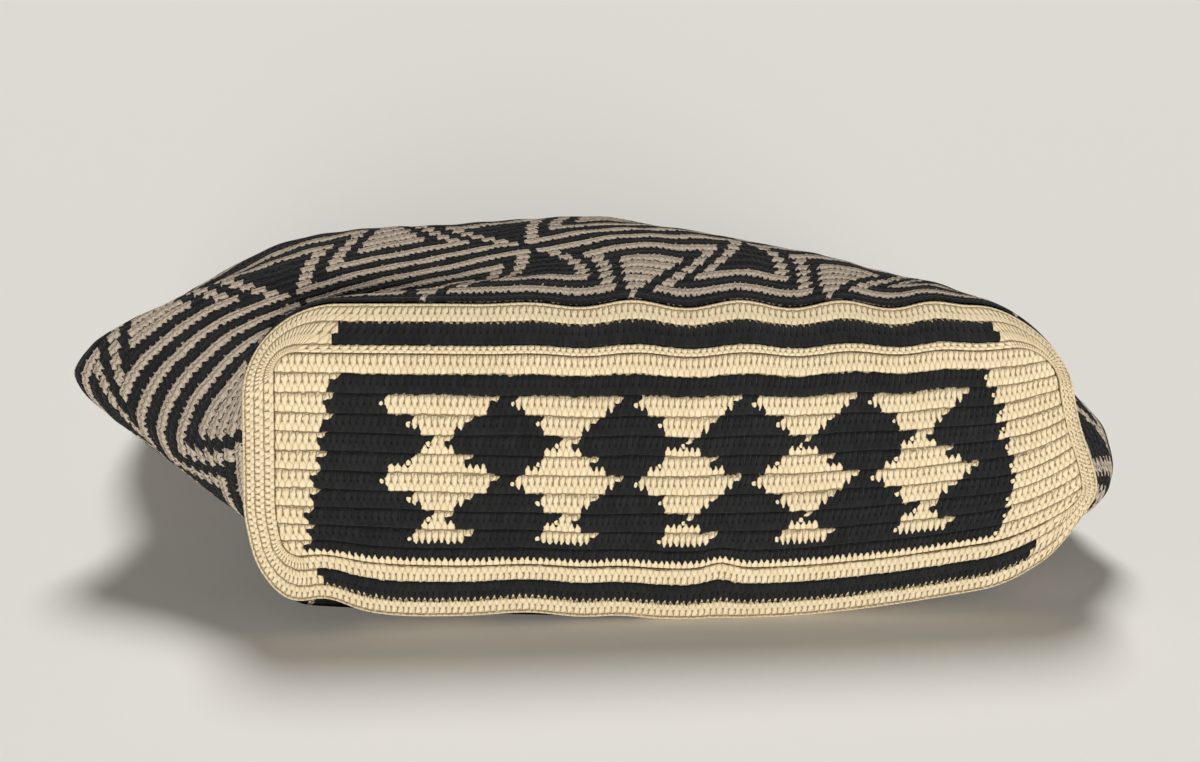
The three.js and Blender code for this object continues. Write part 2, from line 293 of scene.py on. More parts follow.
def addMix(tree, share, first, second):
    node = tree.nodes.new("ShaderNodeMix")
    node.data_type = "RGBA"
    tree.links.new(share, node.inputs[0])
    for socket, value in ((node.inputs[6], first), (node.inputs[7], second)):
        if isinstance(value, tuple):
            socket.default_value = (*value, 1.0)
        else:
            tree.links.new(value, socket)
    return node.outputs[2]


# Yarn colours: plain, pale for random tone, and a dark colour that is painted shade for the hollows and
# gaps between strands.
yarnSet = {
    "beige": (0.82, 0.66, 0.415), "beigeDeep": (0.16, 0.105, 0.036), "beigePale": (0.93, 0.79, 0.54),
    # The body's beige is a darker, greyer copy of the base's beige: painted shade.
    "dull": (0.56, 0.455, 0.345), "dullDeep": (0.11, 0.085, 0.06), "dullPale": (0.64, 0.535, 0.42),
    "black": (0.0125, 0.0125, 0.0128), "blackDeep": (0.0035, 0.0035, 0.0035),
    "blackPale": (0.027, 0.027, 0.027),
}


# The yarn's shader. The pattern gives the beige share, the strand's height, and the stitch's place. Painted
# shade in the hollows and in the gaps between strands darkens the colour towards a shade colour.
def yarnMaterial(name, pattern, tone, bumpDepth, hollowShadeShare, gapShadeShare, jitter):
    material = bpy.data.materials.new(name)
    material.use_nodes = True
    tree = material.node_tree
    shader = tree.nodes["Principled BSDF"]
    shader.inputs["Roughness"].default_value = 0.9
    shader.inputs["Specular IOR Level"].default_value = 0.12
    shader.inputs["Sheen Weight"].default_value = 0.05
    shader.inputs["Sheen Roughness"].default_value = 0.5
    uvNode = tree.nodes.new("ShaderNodeUVMap")
    uvNode.uv_map = "stitches"
    split = tree.nodes.new("ShaderNodeSeparateXYZ")
    tree.links.new(uvNode.outputs[0], split.inputs[0])
    coords = tree.nodes.new("ShaderNodeTexCoord")
    # The stitches are uneven: a fine noise moves the map a little.
    uneven = tree.nodes.new("ShaderNodeTexNoise")
    uneven.inputs["Scale"].default_value = 420.0
    uneven.inputs["Detail"].default_value = 1.0
    tree.links.new(coords.outputs["Object"], uneven.inputs["Vector"])
    sway = tree.nodes.new("ShaderNodeSeparateXYZ")
    tree.links.new(uneven.outputs["Color"], sway.inputs[0])
    moved = [addMath(tree, "MULTIPLY_ADD", sway.outputs[n], jitter, -0.5 * jitter) for n in range(2)]
    mapU = addMath(tree, "ADD", split.outputs[0], moved[0])
    mapV = addMath(tree, "ADD", split.outputs[1], moved[1])
    beige, strand, column, row = pattern(tree, mapU, mapV, coords)

    cell = tree.nodes.new("ShaderNodeCombineXYZ")
    tree.links.new(column, cell.inputs[0])
    tree.links.new(row, cell.inputs[1])
    chance = tree.nodes.new("ShaderNodeTexWhiteNoise")
    chance.noise_dimensions = "2D"
    tree.links.new(cell.outputs[0], chance.inputs["Vector"])
    fibre = tree.nodes.new("ShaderNodeTexNoise")
    fibre.inputs["Scale"].default_value = 1500.0
    fibre.inputs["Detail"].default_value = 2.0
    tree.links.new(coords.outputs["Object"], fibre.inputs["Vector"])
    cloud = tree.nodes.new("ShaderNodeTexNoise")
    cloud.inputs["Scale"].default_value = 22.0
    tree.links.new(coords.outputs["Object"], cloud.inputs["Vector"])
    hollowNode = tree.nodes.new("ShaderNodeAttribute")
    hollowNode.attribute_name = "hollow"
    # Painted shade: the share of the dark shade colour, from the hollow attribute and the gaps between
    # strands.
    hollow = addMath(tree, "MULTIPLY", hollowNode.outputs["Fac"], hollowShadeShare)
    gap = addMath(tree, "MULTIPLY", addMath(tree, "SUBTRACT", 1.0, strand), gapShadeShare)
    deep = addMath(tree, "MINIMUM", addMath(tree, "ADD", hollow, gap), 1.0)
    pale = addAll(tree, "ADD", addMath(tree, "MULTIPLY", chance.outputs["Value"], 0.45),
                  addMath(tree, "MULTIPLY", fibre.outputs[0], 0.45),
                  addMath(tree, "MULTIPLY", cloud.outputs[0], 0.5))
    pale = addMath(tree, "SUBTRACT", pale, 0.35)
    beigeYarn = addMix(tree, pale, yarnSet[tone], yarnSet[tone + "Pale"])
    beigeYarn = addMix(tree, deep, beigeYarn, yarnSet[tone + "Deep"])
    blackYarn = addMix(tree, pale, yarnSet["black"], yarnSet["blackPale"])
    blackYarn = addMix(tree, deep, blackYarn, yarnSet["blackDeep"])
    tree.links.new(addMix(tree, beige, blackYarn, beigeYarn), shader.inputs["Base Color"])

    relief = addMath(tree, "ADD", strand, addMath(tree, "MULTIPLY", fibre.outputs[0], 0.3))
    bump = tree.nodes.new("ShaderNodeBump")
    bump.inputs["Strength"].default_value = 0.9
    bump.inputs["Distance"].default_value = bumpDepth
    tree.links.new(relief, bump.inputs["Height"])
    tree.links.new(bump.outputs[0], shader.inputs["Normal"])
    return material


# 1 on the middle of each strand and 0 between strands, for strands one apart.
def strandWave(tree, run, power):
    wave = addMath(tree, "COSINE", addMath(tree, "MULTIPLY", run, 2 * math.pi))
    return addMath(tree, "POWER", addMath(tree, "MULTIPLY_ADD", wave, 0.5, 0.5), power)


# Distance from the nearest whole number.
def nearWhole(tree, value):
    return addMath(tree, "PINGPONG", value, 0.5)


# Body: rounds of stitches in bands of nested lines and triangles, each band the mirror of the last.
bodySet = {
    "repeats": 10, "repeat": 36, "rows": 56, "band": 10, "line": 2.0, "firstTriangle": 8.0, "slant": 0.9,
    "skew": 0.55, "carried": 0.07, "edgeRows": 2, "ropeDepth": 1.1, "threadDepth": 0.5, "threadLine": 0.62,
    "perStitch": 2, "perRow": 5, "bump": 0.0010, "parts": 3,
}


def bodyPattern(tree, u, v, coords):
    b = bodySet
    scallop = addMath(tree, "MULTIPLY", addMath(tree, "SUBTRACT", nearWhole(tree, u), 0.25), 0.35)
    lifted = addMath(tree, "MAXIMUM", addMath(tree, "ADD", v, scallop), 0.01)
    row = addMath(tree, "FLOOR", lifted)
    inRow = addMath(tree, "FRACT", lifted)
    lean = addMath(tree, "MULTIPLY", addMath(tree, "SUBTRACT", inRow, 0.4), b["slant"])
    slanted = addAll(tree, "SUBTRACT", u, lean, addMath(tree, "MULTIPLY", row, b["skew"]))
    column = addMath(tree, "FLOOR", slanted)
    t = addMath(tree, "PINGPONG", addMath(tree, "SUBTRACT", column, b["firstTriangle"]), b["repeat"] / 2)
    turn = addMath(tree, "MODULO", row, 2.0 * b["band"] + 1.0)
    q = addMath(tree, "MINIMUM", turn, addMath(tree, "SUBTRACT", 2.0 * b["band"], turn))
    level = addMath(tree, "DIVIDE", addAll(tree, "SUBTRACT", t, q, 0.5), b["line"])
    level = addMath(tree, "FLOOR", addMath(tree, "ADD", level, 1.0))
    level = addMath(tree, "MAXIMUM", level, addMath(tree, "SUBTRACT", q, b["band"] / 2))
    level = addMath(tree, "MINIMUM", level, addMath(tree, "ADD", q, 1.0))
    level = addMath(tree, "MINIMUM", addMath(tree, "MAXIMUM", level, 0.0), 5.0)
    level = addMath(tree, "FLOOR", addMath(tree, "ADD", level, 0.25))
    beige = addMath(tree, "LESS_THAN", addMath(tree, "MODULO", level, 2.0), 0.5)
    beige = addAll(tree, "MULTIPLY", beige, addMath(tree, "LESS_THAN", q, b["band"] - 0.5),
                   addMath(tree, "GREATER_THAN", inRow, b["carried"]))
    edge = addMath(tree, "GREATER_THAN", row, b["rows"] - b["edgeRows"] - 0.5)
    beige = addMath(tree, "MAXIMUM", beige, edge)
    thread = addMath(tree, "GREATER_THAN", inRow, b["threadLine"])
    fromThread = addMath(tree, "ABSOLUTE", addMath(tree, "SUBTRACT", inRow, b["threadLine"]))
    line = addMath(tree, "MINIMUM", nearWhole(tree, inRow), fromThread)
    line = addMath(tree, "MINIMUM", addMath(tree, "MULTIPLY", line, 7.0), 1.0)
    wave = strandWave(tree, addMath(tree, "SUBTRACT", slanted, 0.5), 0.6)
    strand = addMath(tree, "MULTIPLY_ADD", wave, 0.55, 0.45)
    strand = addMath(tree, "MULTIPLY", strand, line)
    strand = addMath(tree, "MAXIMUM", strand, addAll(tree, "MULTIPLY", thread, line, 0.55))
    return beige, strand, column, row


# The body uses the darker, greyer copy of the beige yarn as painted shade.
bodyMaterial = yarnMaterial("bodyYarn", bodyPattern, "dull", bodySet["bump"], 0.24, 0.36, 0.5)


# The stitches lie closer along the top than round the corners: a stitch of the round, and its shift.
crowding = np.array([(0.0, 3.5), (4.5, 3.5), (25.0, 1.0), (45.5, -1.5), (80.0, 0.0), (114.5, 1.5),
                     (160.0, 0.0), (204.0, -15.5), (215.0, -15.5), (330.0, 0.0), (360.0, 3.5)])


def bodySurface(inset, columns, rows):
    first, last = bagForm["seamDepth"], bagForm["bodyLength"]
    depths = first + (last - first) * (np.arange(111) / 110) ** 1.2
    rings = np.stack([bodyRing(float(d), inset, columns) for d in depths])
    steps = np.linalg.norm(np.diff(rings, axis=0), axis=2)
    run = np.concatenate([np.zeros((1, columns)), np.cumsum(steps, axis=0)])
    run = run / run[-1]
    wanted = np.arange(rows + 1) / rows
    points = np.empty((rows + 1, columns, 3))
    for k in range(columns):
        for axis in range(3):
            points[:, k, axis] = np.interp(wanted, run[:, k], rings[:, k, axis])
    across = np.roll(points, -1, 1) - np.roll(points, 1, 1)
    along = np.gradient(points, axis=0)
    normal = np.cross(along, across)
    normal /= np.linalg.norm(normal, axis=2, keepdims=True) + 1e-9
    outward = points - points.mean(1, keepdims=True)
    outward[:, :, 1] = 0.0
    normal *= np.sign((normal * outward).sum(2).mean())
    return points, normal


def makeBody():
    b = bodySet
    columns = b["repeats"] * b["repeat"] * b["perStitch"]
    rows = b["rows"] * b["perRow"]
    points, normal = bodySurface(0.0, columns, rows)
    u = (np.arange(columns) / b["perStitch"])[None, :]
    v = (np.arange(rows + 1) / b["perRow"])[:, None]
    inRow = np.mod(v, 1.0)
    rope = np.where(inRow < 0.6, np.sin(math.pi * inRow / 0.6), 0.9 * np.sin(math.pi * (inRow - 0.6) / 0.4))
    rope = np.maximum(rope, np.where(np.abs(inRow - 0.6) < 0.05, b["threadDepth"], 0.0)) + 0.0 * u
    uneven = (np.sin(0.31 * u + 0.9 * np.sin(0.23 * v)) * np.sin(0.41 * v + 0.07 * u)
              + 0.6 * np.sin(0.083 * u - 0.19 * v + 1.3) + 0.35 * np.sin(0.9 * u + 1.7 * np.sin(1.1 * v)))
    lift = b["ropeDepth"] * (rope - 1.0) + 0.5 * uneven * smooth(v, 0.0, 4.0)
    points = points + normal * lift[:, :, None]
    points[:, :, 2] = np.maximum(points[:, :, 2], 0.0)
    made = []
    for k in range(b["parts"]):
        first = b["rows"] * k // b["parts"] * b["perRow"]
        last = b["rows"] * (k + 1) // b["parts"] * b["perRow"]

        def place(i, j):
            u = i / b["perStitch"]
            u = u + np.interp(u, crowding[:, 0], crowding[:, 1])
            # The hollow between the two ropes of each round is painted shade in the colour.
            return (points[j + first, i % columns], u, (j + first) / b["perRow"],
                    1.0 - rope[j + first, i % columns])
        name = "body_rounds_%d" % (k + 1)
        made.append(gridPiece(name, columns, last - first, place, bodyMaterial))

    # The inner face, turned over at the mouth to meet the outer one.
    innerColumns = columns // 2
    inner = bodySurface(bagForm["wall"], innerColumns, b["rows"])[0]
    lip = [inner[-1] * (1 - t) + points[-1, ::2] * t + np.array([0.0, 2.2 * math.sin(math.pi * t), 0.0])
           for t in (0.25, 0.5, 0.75, 1.0)]
    inner = np.concatenate([inner, np.stack(lip)])

    def insidePlace(i, j):
        # The inner face gets an even, small painted shade.
        return inner[j, i % innerColumns], i.astype(float), np.minimum(j, b["rows"] - 0.5), 0.2 + 0.0 * i
    insideRows = b["rows"] + len(lip)
    made.append(gridPiece("body_inside", innerColumns, insideRows, insidePlace, bodyMaterial))
    for piece in made:
        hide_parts("body")


makeBody()
print("stage: body made")

# Base: a panel worked in rows, two to a ridge, inside a border of rounds with a chain along the edge.
baseSet = {
    "left": -180.45, "right": 184.85, "low": -43.9, "rowPitch": 3.75, "rowGrowth": 0.0125,
    "stitches": 130, "rows": 22, "perStitch": 5, "perRow": 6, "panelRadii": (9.0, 22.0, 8.0, 8.0),
    "spread": 0.9, "grooveDepth": 1.2, "pitDepth": 0.9, "postDepth": 0.45, "archDepth": 0.35,
    "tuckDepth": 4.5, "bump": 0.0006, "crown": 5.0, "rollBack": 4.0, "topRoll": 5.0, "lowRoll": 2.5,
    "rounds": 6.0, "chainRounds": 0.7, "tuckRounds": 0.4, "perRound": 6, "roundStitches": 344,
    "perRoundStitch": 4, "leanReach": 22.0,
    "toothLine": 0.78, "tooth": 0.24, "strokeLine": 1.45, "strokeLean": 1.1,
    "middle": 64.5, "halfDiamonds": 50.0, "firstDiamond": 3.0, "lastDiamond": 18.0, "middleRow": 9.5,
    "leftBlack": (4.3, 0.22), "rightBlack": (118.7, 0.018), "lowBlack": 1.0, "topBlack": 20.0,
    "upperStripe": (-156.0, 147.0), "lowerStripe": (-163.0, 167.0), "stripeStep": 2.8,
}
panelHigh = (baseSet["low"] + baseSet["rowPitch"] * baseSet["rows"]
             + baseSet["rowGrowth"] * baseSet["rows"] ** 2)
panelBox = (baseSet["left"], baseSet["right"], baseSet["low"], panelHigh)


# Height of the stitches over a ridge of two rows: posts, a line of pits, V shapes and slanted tops, and the
# hollow, painted shade in the groove, the pits and between the posts.
def ridgeRelief(u, v):
    k = baseSet
    r = np.mod(v, 2.0)
    groove = np.exp(-(np.minimum(r, 2.0 - r) / 0.10) ** 2)
    whole = np.abs(u - np.rint(u))
    pit = np.exp(-(whole / 0.20) ** 2) * np.exp(-((r - 1.12) / 0.18) ** 2)
    above = smooth(r, 0.7, 1.3)
    slant = 0.4 * np.clip((r - 1.4) / 0.6, 0.0, 1.0)
    wave = (1.0 - above) * np.cos(2 * math.pi * u) - above * np.cos(2 * math.pi * (u - slant))
    post = 0.5 + 0.5 * wave
    height = (-k["grooveDepth"] * groove - k["archDepth"] * np.abs(r - 1.0) ** 3
              + k["postDepth"] * (post - 1.0) - k["pitDepth"] * pit)
    return height, np.maximum(0.95 * groove, 0.95 * pit) + 0.28 * (1.0 - post)


def crownAt(x, y):
    wide = 1.0 - np.clip(np.abs(x) / halfWide, 0, 1) ** 2.5
    return baseSet["crown"] * wide * (1.0 - np.clip(np.abs(y) / halfHigh, 0, 1) ** 2.5)


# Row and column of a stitch, with the toothed line between the two rows of a ridge.
def stitchCell(tree, u, v):
    ridge = addMath(tree, "FLOOR", addMath(tree, "MULTIPLY", v, 0.5))
    r = addMath(tree, "SUBTRACT", v, addMath(tree, "MULTIPLY", ridge, 2.0))
    tooth = addMath(tree, "COSINE", addMath(tree, "MULTIPLY", u, 2 * math.pi))
    line = addMath(tree, "MULTIPLY_ADD", tooth, baseSet["tooth"], baseSet["toothLine"])
    upper = addMath(tree, "GREATER_THAN", r, line)
    row = addMath(tree, "MULTIPLY_ADD", ridge, 2.0, upper)
    over = addMath(tree, "MAXIMUM", addMath(tree, "SUBTRACT", r, baseSet["strokeLine"]), 0.0)
    lean = addMath(tree, "MULTIPLY", over, baseSet["strokeLean"])
    shift = addMath(tree, "SUBTRACT", addMath(tree, "MULTIPLY_ADD", upper, -0.5, 0.5), lean)
    column = addMath(tree, "FLOOR", addMath(tree, "ADD", u, shift))
    return row, column, r, upper


# 1 on the strands of a ridge and 0 in the fine gaps: the groove, between posts, pits and slanted strokes.
# The gaps darken the colour as painted shade, as well as giving bump.
def ridgeStrand(tree, u, r):
    def band(value, half, soft):
        share = addMath(tree, "DIVIDE", addMath(tree, "SUBTRACT", value, half), soft)
        return addMath(tree, "MINIMUM", addMath(tree, "MAXIMUM", share, 0.0), 1.0)
    whole = nearWhole(tree, u)
    between = addMath(tree, "SUBTRACT", 0.5, whole)
    groove = band(addMath(tree, "PINGPONG", r, 1.0), 0.04, 0.06)
    above = addMath(tree, "GREATER_THAN", r, 1.0)
    narrowing = addMath(tree, "MAXIMUM", addMath(tree, "SUBTRACT", 1.32, r), 0.03)
    pitHalf = addMath(tree, "MULTIPLY", narrowing, 0.36)
    pit = addMath(tree, "MAXIMUM", band(whole, pitHalf, 0.10), addMath(tree, "SUBTRACT", 1.0, above))
    low = addMath(tree, "LESS_THAN", r, 0.5)
    post = addMath(tree, "MAXIMUM", band(between, 0.01, 0.09), addMath(tree, "SUBTRACT", 1.0, low))
    over = addMath(tree, "SUBTRACT", r, baseSet["strokeLine"])
    lean = addMath(tree, "MULTIPLY", over, baseSet["strokeLean"])
    leaning = nearWhole(tree, addMath(tree, "SUBTRACT", u, lean))
    stroke = addMath(tree, "MAXIMUM", band(leaning, 0.01, 0.10), addMath(tree, "LESS_THAN", over, 0.0))
    tooth = addMath(tree, "COSINE", addMath(tree, "MULTIPLY", u, 2 * math.pi))
    line = addMath(tree, "MULTIPLY_ADD", tooth, baseSet["tooth"], baseSet["toothLine"])
    seam = band(addMath(tree, "ABSOLUTE", addMath(tree, "SUBTRACT", r, line)), 0.0, 0.07)
    post = addMath(tree, "MULTIPLY_ADD", post, 0.55, 0.45)
    stroke = addMath(tree, "MULTIPLY_ADD", stroke, 0.5, 0.5)
    seam = addMath(tree, "MULTIPLY_ADD", seam, 0.4, 0.6)
    return addAll(tree, "MINIMUM", groove, pit, post, stroke, seam)


# 1 where the panel's chart is beige.
def panelChart(tree, column, row):
    k = baseSet
    place = addMath(tree, "ADD", column, 0.5)
    off = addMath(tree, "SUBTRACT", place, k["middle"])
    s = addMath(tree, "PINGPONG", off, 10.0)
    wide = addMath(tree, "MODULO", addMath(tree, "SUBTRACT", k["lastDiamond"] + 7.0, row), 8.0)
    wide = addMath(tree, "ABSOLUTE", addMath(tree, "SUBTRACT", wide, 4.0))
    wide = addMath(tree, "MULTIPLY_ADD", wide, 2.0, 1.0)
    diamond = addAll(tree, "MULTIPLY", addMath(tree, "LESS_THAN", s, wide),
                     addMath(tree, "LESS_THAN", addMath(tree, "ABSOLUTE", off), k["halfDiamonds"]),
                     addMath(tree, "GREATER_THAN", row, k["firstDiamond"] - 0.5),
                     addMath(tree, "LESS_THAN", row, k["lastDiamond"] - 0.5))
    ragged = tree.nodes.new("ShaderNodeTexWhiteNoise")
    ragged.noise_dimensions = "1D"
    tree.links.new(row, ragged.inputs["W"])
    jog = addMath(tree, "MULTIPLY_ADD", ragged.outputs["Value"], 1.0, -0.5)
    leftEnd = addMath(tree, "MULTIPLY_ADD", row, k["leftBlack"][1], k["leftBlack"][0])
    leftEnd = addMath(tree, "ADD", jog, leftEnd)
    bulge = addMath(tree, "ABSOLUTE", addMath(tree, "SUBTRACT", row, k["middleRow"]))
    bulge = addMath(tree, "POWER", bulge, 2.0)
    rightEnd = addMath(tree, "MULTIPLY_ADD", bulge, -k["rightBlack"][1], k["rightBlack"][0])
    rightEnd = addMath(tree, "ADD", jog, rightEnd)
    black = addAll(tree, "MULTIPLY", addMath(tree, "GREATER_THAN", place, leftEnd),
                   addMath(tree, "LESS_THAN", place, rightEnd),
                   addMath(tree, "GREATER_THAN", row, k["lowBlack"] - 0.5),
                   addMath(tree, "LESS_THAN", row, k["topBlack"] - 0.5))
    return addMath(tree, "MAXIMUM", addMath(tree, "SUBTRACT", 1.0, black), diamond)


def panelPattern(tree, u, v, coords):
    row, column, r, upper = stitchCell(tree, u, v)
    beige = panelChart(tree, column, row)
    nextBeige = panelChart(tree, addMath(tree, "ADD", column, 1.0), row)
    # A V shape takes the yarn of both its stitches, with a small loop left of each upper row.
    vee = addMath(tree, "MULTIPLY", upper, addMath(tree, "LESS_THAN", r, baseSet["strokeLine"]))
    both = addMath(tree, "MAXIMUM", nextBeige, addMath(tree, "SUBTRACT", 1.0, vee))
    whole = addMath(tree, "MULTIPLY", beige, both)
    beadX = addMath(tree, "DIVIDE", addMath(tree, "SUBTRACT", addMath(tree, "FRACT", u), 0.55), 0.34)
    beadY = addMath(tree, "DIVIDE", addMath(tree, "SUBTRACT", r, 1.1), 0.26)
    squares = [addMath(tree, "MULTIPLY", off, off) for off in (beadX, beadY)]
    bead = addMath(tree, "ADD", squares[0], squares[1])
    bead = addAll(tree, "MULTIPLY", addMath(tree, "LESS_THAN", bead, 1.0), nextBeige, upper)
    return addMath(tree, "MAXIMUM", whole, bead), ridgeStrand(tree, u, r), column, row


def borderPattern(tree, u, v, coords):
    k = baseSet
    row, column, r, upper = stitchCell(tree, u, v)
    where = tree.nodes.new("ShaderNodeSeparateXYZ")
    tree.links.new(coords.outputs["Object"], where.inputs[0])
    x = addMath(tree, "MULTIPLY", where.outputs[0], 1000.0)
    top = addMath(tree, "GREATER_THAN", where.outputs[2], 0.07)
    tip = addMath(tree, "MULTIPLY", addMath(tree, "MULTIPLY_ADD", nearWhole(tree, u), 2.0, -0.4),
                  addMath(tree, "MULTIPLY_ADD", top, -0.4, 0.65))
    outer = addMath(tree, "LESS_THAN", v, addMath(tree, "SUBTRACT", 4.0, tip))
    stripe = addMath(tree, "MULTIPLY", addMath(tree, "GREATER_THAN", v, 1.96), outer)
    step = addMath(tree, "MULTIPLY", addMath(tree, "GREATER_THAN", v, 3.0), k["stripeStep"])
    upperStripe, lowerStripe = k["upperStripe"], k["lowerStripe"]
    lowEnd = addMath(tree, "MULTIPLY_ADD", top, upperStripe[0] - lowerStripe[0], lowerStripe[0])
    highEnd = addMath(tree, "MULTIPLY_ADD", top, upperStripe[1] - lowerStripe[1], lowerStripe[1])
    started = addMath(tree, "GREATER_THAN", x, addMath(tree, "ADD", lowEnd, step))
    notOver = addMath(tree, "LESS_THAN", x, addMath(tree, "SUBTRACT", highEnd, step))
    black = addAll(tree, "MULTIPLY", stripe, started, notOver)
    return addMath(tree, "SUBTRACT", 1.0, black), ridgeStrand(tree, u, r), column, row


panelMaterial = yarnMaterial("panelYarn", panelPattern, "beige", baseSet["bump"], 0.30, 0.55, 0.5)
borderMaterial = yarnMaterial("borderYarn", borderPattern, "beige", baseSet["bump"], 0.30, 0.55, 0.5)


def makePanel():
    k = baseSet
    left, right, low, high = panelBox

    def place(i, j):
        u, v = i / k["perStitch"], j / k["perRow"]
        spread = k["spread"] * np.sin(2 * math.pi * (u - 64.0) / k["stitches"])
        x = left + (right - left) * (u - spread) / k["stitches"]
        y = low + k["rowPitch"] * v + k["rowGrowth"] * v ** 2
        tl, tr, br, bl = k["panelRadii"]
        centreX, centreY = (left + right) / 2, (low + high) / 2
        radius = np.where(y > centreY, np.where(x < centreX, tl, tr), np.where(x < centreX, bl, br))
        ax = np.abs(x - centreX) - ((right - left) / 2 - radius)
        ay = np.abs(y - centreY) - ((high - low) / 2 - radius)
        outside = np.hypot(np.maximum(ax, 0.0), np.maximum(ay, 0.0))
        outside = outside + np.minimum(np.maximum(ax, ay), 0.0) - radius
        ridge = np.floor(v / 2.0)
        wander = 0.25 * np.sin(0.13 * u + 2.1 * ridge) + 0.2 * np.sin(0.29 * u - 1.3 * ridge)
        height, hollow = ridgeRelief(u + 0.12 * np.sin(0.7 * u + ridge), v)
        loose = 0.5 * np.sin(0.09 * u + 0.35 * v) + 0.3 * np.sin(0.21 * u - 0.6 * v)
        out = crownAt(x, y) + height + loose - k["tuckDepth"] * smooth(outside, -0.8, 1.2)
        y = y + wander * 0.8 * smooth(-outside, 2.0, 12.0)
        return onBase(x, y, out), u, v, hollow
    columns, rows = k["stitches"] * k["perStitch"], k["rows"] * k["perRow"]
    return gridPiece("base_panel", columns, rows, place, panelMaterial)


# Share of the border's width where the inner round, stripe and outer round end: left, top, right, bottom.
roundEnds = np.array([(0.32, 0.62, 0.90), (0.168, 0.63, 0.935), (0.20, 0.45, 0.78), (0.31, 0.676, 0.945)])


def makeBorder():
    k = baseSet
    columns = k["roundStitches"] * k["perRoundStitch"]
    rows = int(round((k["rounds"] + k["chainRounds"] + k["tuckRounds"]) * k["perRound"]))
    part, share, (outerX, outerY) = oblongRun(0.0, columns)
    innerX, innerY = oblongPoint(panelBox, k["panelRadii"], part, share)
    # Along the sides the stitches stand square to the edge, and they lean only near the corners.
    outerBox = (-halfWide, halfWide, -halfHigh, halfHigh)
    for side in (0, 2, 4, 6):
        here = part == side
        axis = 1 if side in (0, 4) else 0
        outerEnds = oblongPoint(outerBox, bagForm["radii"], np.full(2, side), np.array([0.0, 1.0]))[axis]
        innerEnds = oblongPoint(panelBox, k["panelRadii"], np.full(2, side), np.array([0.0, 1.0]))[axis]
        run = (outerX, outerY)[axis][here]
        length = abs(outerEnds[1] - outerEnds[0])
        straight = run.copy()
        for n in range(2):
            away = np.abs(run - outerEnds[n])
            gap = innerEnds[n] - outerEnds[n]
            straight += gap * np.exp(-away / k["leanReach"]) * (1.0 - away / length)
        (innerX, innerY)[axis][here] = straight
    wayX, wayY = outerX - innerX, outerY - innerY
    quarter = np.array([0, 0, 1, 1, 2, 2, 3, 3])[part]
    turn = np.where(np.isin(part, (1, 3, 5, 7)), share, 0.0) * math.pi / 2 + quarter * math.pi / 2
    sideShare = np.stack([np.maximum(np.cos(turn - q * math.pi / 2), 0.0) ** 2 for q in range(4)], -1)
    ends = sideShare @ roundEnds

    def place(i, j):
        u, v = i / k["perRoundStitch"], j / k["perRound"]
        i = i % columns
        marks = np.stack([np.zeros(len(i)), ends[i, 0], ends[i, 1], ends[i, 2], np.ones(len(i))], -1)
        knots = np.array([0.0, 2.0, 4.0, k["rounds"], k["rounds"] + k["chainRounds"]])
        reach = np.zeros(len(i))
        for n in range(4):
            done = np.clip((v - knots[n]) / (knots[n + 1] - knots[n]), 0.0, 1.0)
            reach += (marks[:, n + 1] - marks[:, n]) * done
        tuck = np.clip((v - knots[4]) / k["tuckRounds"], 0.0, 1.0)
        chain = np.clip((v - k["rounds"]) / k["chainRounds"], 0.0, 1.0)
        x = innerX[i] + wayX[i] * (reach - 0.05 * tuck)
        y = innerY[i] + wayY[i] * (reach - 0.05 * tuck)
        height, hollow = ridgeRelief(u + 0.10 * np.sin(0.5 * u), np.minimum(v, k["rounds"]))
        twist = 0.5 + 0.5 * np.cos(2 * math.pi * (u - 0.9 * chain))
        bead = 1.9 * np.sin(math.pi * chain) ** 0.7 + 0.5 * (twist - 1.0) * np.sin(math.pi * chain)
        edge = v > k["rounds"]
        roll = k["rollBack"] + k["topRoll"] * sideShare[i, 1] - k["lowRoll"] * sideShare[i, 3]
        out = crownAt(innerX[i], innerY[i]) * (1.0 - reach) - roll * reach ** 2
        out = out + np.where(edge, bead - 1.5, height) - k["tuckDepth"] * tuck
        # On the edge chain the hollow is painted shade between the twists and where the border tucks under.
        return onBase(x, y, out), u, v, np.where(edge, 0.5 * (1.0 - twist) + 0.5 * tuck, hollow)
    return gridPiece("base_border", columns, rows, place, borderMaterial)


# The inside of the base, a sheet of the same rows.
def makeBaseInside():
    k = baseSet
    columns, rings = 256, 24
    rimX, rimY = oblongRun(bagForm["seamStep"] + bagForm["wall"] - 1.0, columns)[2]

    def place(i, j):
        x, y = rimX[i % columns] * j / rings, rimY[i % columns] * j / rings
        u = (x - k["left"]) / (k["right"] - k["left"]) * k["stitches"]
        v = (y - k["low"]) / (panelHigh - k["low"]) * k["rows"]
        # The inside of the base gets an even, small painted shade.
        return onBase(x, y, -6.0 + 0.0 * x), u, v, 0.1 + 0.0 * x
    return gridPiece("base_inside", columns, rings, place, panelMaterial)


for basePiece in (makePanel(), makeBorder(), makeBaseInside()):
    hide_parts("base")
print("stage: base made")

# Floor, light and camera.
floorSet = {"size": 6.0, "color": (0.96, 0.935, 0.875), "roughness": 0.9}
floorMesh = bpy.data.meshes.new("floor")
floorBuild = bmesh.new()
bmesh.ops.create_grid(floorBuild, x_segments=1, y_segments=1, size=floorSet["size"])
floorBuild.to_mesh(floorMesh)
floorBuild.free()
floorMaterial = bpy.data.materials.new("floorPale")
floorMaterial.use_nodes = True
floorShader = floorMaterial.node_tree.nodes["Principled BSDF"]
floorShader.inputs["Base Color"].default_value = (*floorSet["color"], 1.0)
floorShader.inputs["Roughness"].default_value = floorSet["roughness"]
floorShader.inputs["Specular IOR Level"].default_value = 0.1
floorMesh.materials.append(floorMaterial)
floor = bpy.data.objects.new("floor", floorMesh)
scene.collection.objects.link(floor)

